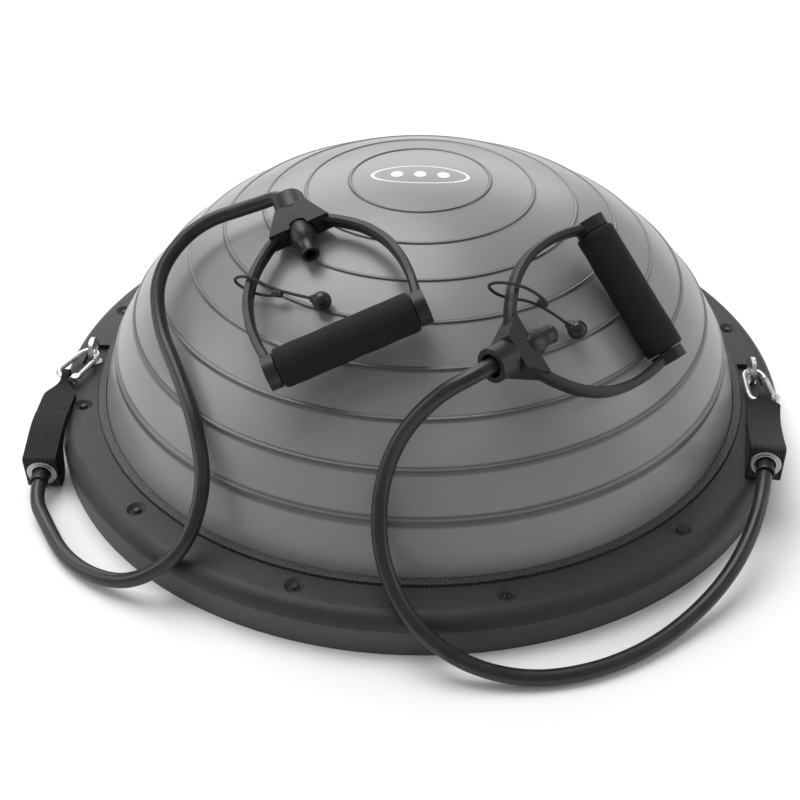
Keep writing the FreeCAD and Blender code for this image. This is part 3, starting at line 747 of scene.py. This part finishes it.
# --------------------------------------------------------------------------- one side's fittings
@dataclass
class Fittings:
    """Everything that one side hangs on its eye: hook, strap end, tube, handle and lanyard.

    Lengths are in millimetres and angles in degrees. The outlines lower and upper are the two
    layers of webbing, seen along the bar; route is the tube's, tag is the lanyard's, in the
    handle's frame, and hand is that frame's origin and its X and Y directions.
    """

    side: Side
    eye: Point
    tilt: float
    web: Point
    lower: Sequence[Point]
    upper: Sequence[Point]
    grommet: Point
    pitch: float
    anchor: Point
    lift: float
    hand: tuple
    route: Sequence[Point]
    mouth: float
    tag: Sequence[Point]
    ball: Point
    bar: float = 0.5
    wrap: Point = (-5.2, 4.4)
    taper: float = 2.5
    band: float = 26.0
    thick: float = 1.8
    hook_reach: float = 41.0
    bar_height: float = 40.0
    bar_wrap: float = 4.9
    wrap_end: float = 3.0
    stitch_rows: tuple = (30.5, 34.0)
    stitches_per_row: int = 9
    stitch_pitch: float = 2.6
    straight_lead: float = 27.4
    tube_root: float = 135.5
    blend_end: float = 142.5
    tube_radius: float = 5.5
    cord_radius: float = 1.1

    def solids(self) -> dict:
        """The CAD solids of this side that stay, with their finishes."""
        gate = KNURLED if self.side is Side.RIGHT else BRIGHT
        return {"eye_bolt": BRIGHT, "eye_nut": DULL, "eye_washer": DULL,
                "carabiner_frame": BRIGHT, "gate_pin": DULL, "anchor_ball": GLOSS,
                "stop_ball": GLOSS, "yoke": NYLON, "grip_core": NYLON, "carabiner_gate": gate}

    def name(self, word: str) -> str:
        """Name with the side in front."""
        return self.side.value + "_" + word

    def hook_frame(self) -> Matrix:
        """Local frame of the hook: origin in the eye, Y to the bar."""
        t = math.radians(self.tilt)
        down = (self.bar_height - self.eye[2]) / self.hook_reach
        return axes(self.eye, (math.cos(t), math.sin(t), 0.0), (math.sin(t), -math.cos(t), down))

    def web_frame(self) -> Matrix:
        """Local frame of the strap: origin on the bar, X along the strap, Y up."""
        bar = self.hook_frame() @ (Vector((self.bar, self.hook_reach, 0.0)) * MM)
        place = axes((0, 0, 0), (self.web[0], self.web[1], 0.0), (0.0, 0.0, 1.0))
        place.translation = bar
        return place

    def hand_frame(self) -> Matrix:
        """Local frame of the handle: X along the grip, Y to the collar."""
        origin, x, y = self.hand
        place = axes(origin, x, y)
        lift = (place.to_3x3() @ Vector((0, 0, self.lift))) * MM
        place.translation = place.translation + lift
        return place

    def outward(self) -> Vector:
        """Direction of the tube where it leaves the strap, in the strap's frame."""
        p = math.radians(self.pitch)
        return Vector((math.cos(p), -math.sin(p), 0.0))

    def build(self) -> int:
        """Build every piece of this side; returns how many there are."""
        solids = self.solids()
        for word, finish in solids.items():
            node = frame["nodes"][self.name(word)]
            node.data.materials.clear()
            node.data.materials.append(finish.material())
        made = [self.strap(), self.stitches(), self.rim(), self.sleeve(), self.tube(),
                self.tube_end(), self.foam(), self.lanyard_ball()]
        made += self.lanyard()
        return len(made) + len(solids)

    def band_line(self) -> list:
        """Centreline of the webbing loop in the strap's frame, as a fine closed polyline."""
        wrap = self.bar_wrap
        loop = list(self.lower) + list(self.upper) + [(-wrap, wrap), (-wrap, -wrap)]
        pts = [Vector((p[0], p[1])) for p in loop]
        fine, count = [], len(pts)
        for i in range(count):
            p, q, s = pts[i - 1], pts[i], pts[(i + 1) % count]
            a, b = p - q, s - q
            reach = 0.45 * min(a.length, b.length)
            a, b = q + a.normalized() * reach, q + b.normalized() * reach
            steps = 7
            for k in range(steps + 1):
                t = k / steps
                fine.append(a * (1 - t) ** 2 + q * 2 * t * (1 - t) + b * t * t)
            far = pts[(i + 1) % count]
            nxt = far - b
            room = nxt.length * 0.5
            parts = int(room / 3.0)
            for k in range(1, parts):
                fine.append(b + nxt.normalized() * (room * k / parts))
        return fine

    def strap(self) -> Any:
        """Webbing loop: a wide flat band with a thin wrap round the hook's bar."""
        line = self.band_line()
        count, across = len(line), 13
        verts, faces, uvs = [], [], []
        run = 0.0
        runs = []
        for i, p in enumerate(line):
            runs.append(run)
            run += (line[(i + 1) % count] - p).length
        for i, p in enumerate(line):
            before, after = line[i - 1], line[(i + 1) % count]
            tangent = (after - before).normalized()
            normal = Vector((-tangent.y, tangent.x))
            share = min(1.0, max(0.0, (p.x - self.wrap_end) / self.taper))
            share = share * share * (3 - 2 * share)
            low = self.wrap[0] + (-self.band / 2 - self.wrap[0]) * share
            high = self.wrap[1] + (self.band / 2 - self.wrap[1]) * share
            for j in range(across):
                w = low + (high - low) * j / (across - 1)
                edge = abs(2 * j / (across - 1) - 1)
                swell = 0.10 * (1 - edge ** 6)
                verts.append((p.x - normal.x * swell, p.y - normal.y * swell, w))
        mesh = bpy.data.meshes.new(self.name("webbing"))
        for i in range(count):
            k = (i + 1) % count
            for j in range(across - 1):
                here, there = i * across + j, k * across + j
                faces.append((here, here + 1, there + 1, there))
                end = runs[k] if k else run
                uvs.append(((runs[i], j), (runs[i], j + 1), (end, j + 1), (end, j)))
        mesh.from_pydata([Vector(v) * MM for v in verts], [], faces)
        layer = mesh.uv_layers.new(name="band")
        slot_index = 0
        for corners in uvs:
            for r, j in corners:
                layer.data[slot_index].uv = (r * MM, (j / (across - 1)) * self.band * MM)
                slot_index += 1
        piece = bpy.data.objects.new(self.name("webbing"), mesh)
        bpy.context.scene.collection.objects.link(piece)
        only(piece)
        shell = piece.modifiers.new("thickness", "SOLIDIFY")
        shell.thickness = self.thick * MM
        shell.offset = 0.0
        bpy.ops.object.modifier_apply(modifier="thickness")
        round_off = piece.modifiers.new("edges", "BEVEL")
        round_off.width = 0.45 * MM
        round_off.segments = 2
        round_off.limit_method = "ANGLE"
        round_off.angle_limit = math.radians(50)
        bpy.ops.object.modifier_apply(modifier="edges")
        soften(piece, 50.0)
        settle(piece, self.web_frame())
        dress(piece, WEBBING)
        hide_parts(self.name("strap"))
        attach(piece, self.name("strap_end"))
        return piece

    def stitches(self) -> Any:
        """Two rows of thread across the pinched layers."""
        pieces = []
        middle = self.stitches_per_row // 2
        for u in self.stitch_rows:
            for k in range(self.stitches_per_row):
                place = (u * MM, 0.0, (k - middle) * self.stitch_pitch * MM)
                bpy.ops.mesh.primitive_uv_sphere_add(segments=8, ring_count=6, radius=0.5 * MM,
                                                     location=place)
                thread = bpy.context.active_object
                only(thread)
                bpy.ops.object.mode_set(mode="EDIT")
                bpy.ops.mesh.select_all(action="SELECT")
                bpy.ops.transform.resize(value=(0.8, 0.7, 2.1))
                bpy.ops.object.mode_set(mode="OBJECT")
                z = self.layer_top(u)
                settle(thread, Matrix.Translation((0, (z + 0.75) * MM, 0)))
                pieces.append(thread)
        only(pieces[0])
        for other in pieces[1:]:
            other.select_set(True)
        bpy.ops.object.join()
        piece = bpy.context.active_object
        piece.name = piece.data.name = self.name("stitching")
        soften(piece, 60.0)
        settle(piece, self.web_frame())
        dress(piece, CORD_THREAD)
        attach(piece, self.name("strap_end"))
        return piece

    def layer_top(self, u: float) -> float:
        """Height of the upper layer's centreline at a distance from the bar."""
        pts = sorted(self.upper, key=lambda p: p[0])
        for p, q in zip(pts, pts[1:]):
            if p[0] <= u <= q[0]:
                return p[1] + (q[1] - p[1]) * (u - p[0]) / (q[0] - p[0])
        return pts[0][1]

    def at_grommet(self, offset: float = 0.0) -> Matrix:
        """Frame at the grommet with Z pointing out along the tube."""
        out = self.outward()
        place = Vector((self.grommet[0], self.grommet[1], 0.0)) + out * offset
        return self.web_frame() @ along(place * MM, out)

    def rim(self) -> Any:
        """Rolled bright grommet with its double rim."""
        profile = [(7.0, -1.4), (7.5, -1.9), (9.0, -2.0), (11.2, -1.7), (11.6, -1.3),
                   (11.2, -1.0), (8.1, -0.95), (8.1, 0.95), (11.2, 1.0), (11.6, 1.25),
                   (11.2, 1.6), (10.2, 2.0), (9.3, 1.75), (8.7, 1.75), (8.2, 2.2), (7.5, 2.1),
                   (7.0, 1.5)]
        piece = turned(self.name("grommet_rim"), list(reversed(profile)), 64)
        soften(piece, 60.0)
        settle(piece, self.at_grommet())
        dress(piece, RIM_STEEL)
        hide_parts(self.name("grommet"))
        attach(piece, self.name("strap_end"))
        return piece

    def sleeve(self) -> Any:
        """Rubber sleeve on the tube's end with its end band."""
        back, size = self.anchor
        gap = back - size - 0.1
        profile = [(5.56, -gap), (6.45, -gap), (6.45, 7.6), (6.9, 8.0), (7.05, 8.6), (7.05, 11.9),
                   (6.8, 12.4), (5.9, 12.5), (5.56, 12.2)]
        piece = turned(self.name("sleeve_skin"), profile, 48)
        soften(piece, 40.0)
        settle(piece, self.at_grommet())
        dress(piece, SOFT_RUBBER)
        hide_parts(self.name("tube_sleeve"))
        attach(piece, self.name("strap_end"))
        return piece

    def tube(self) -> Any:
        """Elastic tube from the strap to the handle, on one smooth curve."""
        back, size = self.anchor
        place = self.at_grommet(-(back - size - 0.1))
        start, out = place.translation, (place.to_3x3() @ Vector((0, 0, 1))).normalized()
        hand = self.hand_frame()
        points = [start, start + out * ((self.straight_lead + back - size) * MM)]
        points += [Vector(p) * MM for p in self.route]
        points += [hand @ Vector((0, reach * MM, 0)) for reach in (self.mouth, self.tube_root)]
        piece, path = spline(self.name("tube_skin"), points, self.tube_radius * MM)
        dress(piece, TUBE_SKIN)
        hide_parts(self.name("tube"))
        self.name("strap_end")
        self.name("handle")
        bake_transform(piece)
        return piece

    def tube_end(self) -> Any:
        """Swollen open end of the tube round its stopper, under the hood."""
        profile = [(5.5, 135.5), (5.5, 123.5), (6.3, 121.0), (8.1, 117.6), (9.5, 113.4),
                   (9.95, 109.0), (9.55, 104.6), (8.4, 100.8), (7.1, 97.6), (6.5, 94.6),
                   (6.5, 89.6), (6.9, 88.4), (6.6, 87.1), (5.6, 86.8), (4.2, 87.3), (3.7, 89.0),
                   (3.6, 96.0), (0.01, 96.5)]
        folded_from, folded_to = 98.0, 121.0
        fine = []
        for i in range(len(profile) - 1):
            p, q = Vector(profile[i]), Vector(profile[i + 1])
            for k in range(3):
                fine.append(tuple(p.lerp(q, k / 3)))
        fine.append(profile[-1])
        piece = turned(self.name("tube_bulb"), [(r, -y) for r, y in fine], 48, closed=False)
        only(piece)
        bpy.ops.object.mode_set(mode="EDIT")
        bpy.ops.mesh.select_all(action="SELECT")
        bpy.ops.mesh.fill_holes(sides=64)
        bpy.ops.mesh.normals_make_consistent(inside=False)
        bpy.ops.object.mode_set(mode="OBJECT")
        for v in piece.data.vertices:
            y, r = -v.co.z / MM, math.hypot(v.co.x, v.co.y)
            if folded_from < y < folded_to and r > 0.005:
                lobes = math.cos(3 * math.atan2(v.co.y, v.co.x))
                fold = 0.14 * noise.noise(v.co * 260.0) + 0.10 * lobes
                share = (y - folded_from) / (folded_to - folded_from)
                amount = math.sin(math.pi * share) * fold * MM / r
                v.co.x *= 1 + amount
                v.co.y *= 1 + amount
        soften(piece, 50.0)
        settle(piece, self.hand_frame() @ Matrix.Rotation(math.radians(90), 4, "X"))
        # The end's rubber is darker than the tube's: painted shade under the hood.
        dress(piece, SHADED_BULB_SKIN)
        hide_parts(self.name("tube_end"))
        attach(piece, self.name("handle"))
        return piece

    def foam(self) -> Any:
        """Foam sleeve of the grip, slightly crowned, with soft ends."""
        half, outer, bore = 49.7, 14.3, 8.02
        profile = [(bore, -half + 0.6), (bore + 0.7, -half), (outer - 2.6, -half),
                   (outer - 1.1, -half + 0.35), (outer - 0.3, -half + 1.3), (outer, -half + 3.0)]
        profile += [(outer - 0.12 * math.cos(k * 0.9), -half + 3.0 + (2 * half - 6.0) * k / 24)
                    for k in range(1, 24)]
        profile += [(outer, half - 3.0), (outer - 0.3, half - 1.3), (outer - 1.1, half - 0.35),
                    (outer - 2.6, half), (bore + 0.7, half), (bore, half - 0.6)]
        piece = turned(self.name("foam_skin"), profile, 72)
        for v in piece.data.vertices:
            r = math.hypot(v.co.x, v.co.y)
            if r > 0.010:
                dent = noise.noise(v.co * 70.0) * 0.22 + noise.noise(v.co * 300.0) * 0.06 - 0.1
                v.co.x *= 1 + dent * MM / r
                v.co.y *= 1 + dent * MM / r
        soften(piece, 45.0)
        settle(piece, self.hand_frame() @ Matrix.Rotation(math.radians(90), 4, "Y"))
        dress(piece, FOAM)
        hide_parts(self.name("foam_grip"))
        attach(piece, self.name("grip"))
        return piece

    def lanyard_ball(self) -> Any:
        """Glossy ball with its short neck and parting line."""
        profile = [(0.01, -7.0), (1.9, -6.75), (3.6, -6.0), (5.0, -4.9), (6.1, -3.45), (6.8, -1.75),
                   (6.98, -0.25), (6.86, 0.0), (6.98, 0.25), (6.8, 1.75), (6.1, 3.45), (5.0, 4.9),
                   (4.0, 5.7), (3.3, 6.6), (2.9, 7.8), (2.4, 8.9), (1.4, 9.2), (0.01, 9.2)]
        piece = turned(self.name("tag_ball"), profile, 48, closed=False)
        soften(piece, 60.0)
        centre, neck = Vector(self.ball), Vector(self.tag[0])
        settle(piece, self.hand_frame() @ along(centre * MM, neck - centre))
        dress(piece, GLOSS)
        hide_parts(self.name("lanyard_ball"))
        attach(piece, self.name("tag"))
        return piece

    def lanyard(self) -> list:
        """Cord of the lanyard, looped over one arm, with its knot."""
        hand = self.hand_frame()
        points = [hand @ (Vector(p) * MM) for p in reversed(self.tag)]
        piece, path = spline(self.name("tag_cord"), points, self.cord_radius * MM)
        dress(piece, CORD)
        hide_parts(self.name("lanyard_cord"))
        knot_at = hand @ ((Vector(self.tag[1]) + Vector(self.tag[-1])) * 0.5 * MM)
        profile = [(0.01, -4.2), (1.7, -4.0), (2.9, -3.1), (3.2, -2.0), (2.6, -1.1), (3.1, -0.2),
                   (3.4, 0.9), (2.8, 1.9), (3.0, 2.8), (2.2, 3.8), (0.01, 4.2)]
        knot = turned(self.name("tag_knot"), profile, 24, closed=False)
        soften(knot, 60.0)
        heading = (hand.to_3x3() @ (Vector(self.tag[1]) - Vector(self.tag[0]))).normalized()
        settle(knot, along(knot_at, heading))
        dress(knot, CORD_THREAD)
        self.name("handle")
        self.name("tag")
        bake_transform(piece)
        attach(knot, self.name("tag"))
        return [piece, knot]


SIDES = (
    Fittings(
        side=Side.LEFT, eye=(-278.0, -5.0, 41.4), tilt=-23.0, web=(0.0377, -1.0),
        lower=[(0, -4.9), (9, -3.0), (35, -3.0), (62, -4.6), (75.4, -11.0), (82.4, -33.5),
               (85.9, -36.8), (91.9, -36.7), (95.9, -36.5)],
        upper=[(97.8, -9.0), (93.8, -8.7), (62, 0.4), (35, -0.8), (9, -0.8), (0, 4.9)],
        grommet=(96.85, -22.75), pitch=3.95, anchor=(8.6, 6.6), lift=0.9,
        hand=((-40.905, -182.046, 176.174), (0.90393, 0.28956, 0.31475),
              (-0.36914, 0.89988, 0.23228)),
        route=[(-272.0, -190.0, 8.0), (-251.0, -222.0, 6.4), (-220.0, -246.0, 8.6),
               (-187.3, -257.5, 17.1), (-150.4, -253.1, 44.2), (-138.9, -221.1, 77.8),
               (-149.4, -187.4, 105.7), (-167.9, -150.5, 124.1), (-188.2, -113.5, 139.4),
               (-195.0, -74.8, 162.4), (-168.7, -42.5, 186.6), (-124.6, -38.6, 201.2)],
        mouth=156.0,
        tag=[(-12.2, 52.6, -4.1), (-33.6, 70.5, -2.0), (-47.0, 84.0, 9.6), (-58.0, 94.5, 2.0),
             (-56.5, 91.5, -4.5), (-44.5, 77.5, -9.4), (-31.0, 66.3, -4.0)],
        ball=(-5.6, 45.8, -4.4), bar=2.5, wrap=(-3.2, 2.7), taper=22.0),
    Fittings(
        side=Side.RIGHT, eye=(278.0, -5.0, 41.4), tilt=4.0, web=(-0.17, -1.0),
        lower=[(0, -4.9), (9, -2.6), (27, -2.8), (60, -4.7), (90, -4.8), (94, -4.8)],
        upper=[(94, 22.6), (90, 22.6), (60, 10.5), (27, 0.1), (9, 0.1), (0, 4.9)],
        grommet=(94.0, 8.9), pitch=0.0, anchor=(14.0, 8.0), lift=1.3,
        hand=((154.381, -101.723, 172.628), (-0.53594, 0.52139, 0.66402),
              (-0.67161, -0.73989, 0.0389)),
        route=[(247.0, -203.1, 31.8), (225.9, -236.6, 19.1), (196.8, -267.0, 9.4),
               (164.6, -293.6, 6.2), (126.6, -313.9, 6.0), (85.5, -323.0, 6.6),
               (43.2, -319.5, 15.3), (8.6, -303.8, 34.1), (-12.3, -274.4, 58.9),
               (-16.7, -248.4, 92.2), (-5.5, -232.5, 131.0), (19.7, -227.9, 165.3)],
        mouth=158.6,
        tag=[(2.0, 59.9, -10.4), (23.9, 72.8, -9.6), (38.5, 99.5, -10.8), (48.5, 113.0, -3.0),
             (48.0, 112.0, 5.5), (37.5, 97.5, 10.4), (24.5, 79.0, 2.5), (20.0, 69.5, -6.8)],
        ball=(-5.9, 55.4, -9.0)),
)


# --------------------------------------------------------------------------- studio
@dataclass
class Studio:
    """Floor, soft lights and the camera."""

    eye: Point = (37.886, -900.181, 650.200)
    right: Point = (0.99831, 0.05812, -0.00242)
    up: Point = (-0.03217, 0.58624, 0.80950)
    lens: float = 57.65
    softboxes: tuple = (
        ((-0.3, 1.9, 0.9), (2.6, 0.9), 16.0), ((-1.9, -0.2, 0.9), (1.0, 1.4), 9.0),
        ((1.9, 0.0, 0.9), (1.0, 1.4), 7.0))
    aim: Point = (0.0, 0.0, 0.1)
    sun: float = 2.25
    sun_angle: float = 46.0
    sun_heading: Point = (0.30, -0.38, -1.0)
    fill: float = 0.36
    floor_size: float = 14.0
    floor_middle: Point = (0.0, 2.0, 0.0)
    sensor: float = 36.0

    def build(self) -> None:
        """Set the floor, the world, the lights and the camera."""
        for other in list(bpy.context.selected_objects):
            other.select_set(False)
        bpy.ops.mesh.primitive_plane_add(size=self.floor_size, location=self.floor_middle)
        floor = bpy.context.active_object
        floor.name = "studio_floor"
        floor.data.materials.append(PaleFloor().material())
        world = bpy.data.worlds.new("studio")
        bpy.context.scene.world = world
        world.use_nodes = True
        backdrop = world.node_tree.nodes["Background"]
        backdrop.inputs["Color"].default_value = (1.0, 1.0, 1.0, 1.0)
        backdrop.inputs["Strength"].default_value = self.fill
        sun = bpy.data.lights.new("key", "SUN")
        sun.energy, sun.angle = self.sun, math.radians(self.sun_angle)
        key = bpy.data.objects.new("key", sun)
        bpy.context.scene.collection.objects.link(key)
        key.rotation_euler = Vector(self.sun_heading).to_track_quat("-Z", "Y").to_euler()
        for place, size, power in self.softboxes:
            lamp = bpy.data.lights.new("softbox", "AREA")
            lamp.shape = "RECTANGLE"
            lamp.size, lamp.size_y = size
            lamp.energy = power
            holder = bpy.data.objects.new("softbox", lamp)
            bpy.context.scene.collection.objects.link(holder)
            holder.location = place
            heading = Vector(self.aim) - Vector(place)
            holder.rotation_euler = heading.to_track_quat("-Z", "Y").to_euler()
        data = bpy.data.cameras.new("view")
        data.lens, data.sensor_width = self.lens, self.sensor
        camera = bpy.data.objects.new("view", data)
        bpy.context.scene.collection.objects.link(camera)
        r, u = Vector(self.right).normalized(), Vector(self.up).normalized()
        back = r.cross(u).normalized()
        turn = Matrix((r, back.cross(r), back)).transposed().to_4x4()
        turn.translation = Vector(self.eye) * MM
        camera.matrix_world = turn
        bpy.context.scene.camera = camera
        bpy.context.scene.view_settings.view_transform = "Standard"


def main() -> None:
    """Build the trainer's looks and report each group."""
    logging.basicConfig(level=logging.INFO, format="%(message)s")
    Studio().build()
    for side in SIDES:
        LOG.info("%s side: %d pieces", side.side.value, side.build())
    LOG.info("base: %d solids", BaseGroup().build())
    LOG.info("dome: %s", Dome().build().name)


if __name__ == "__main__":
    main()
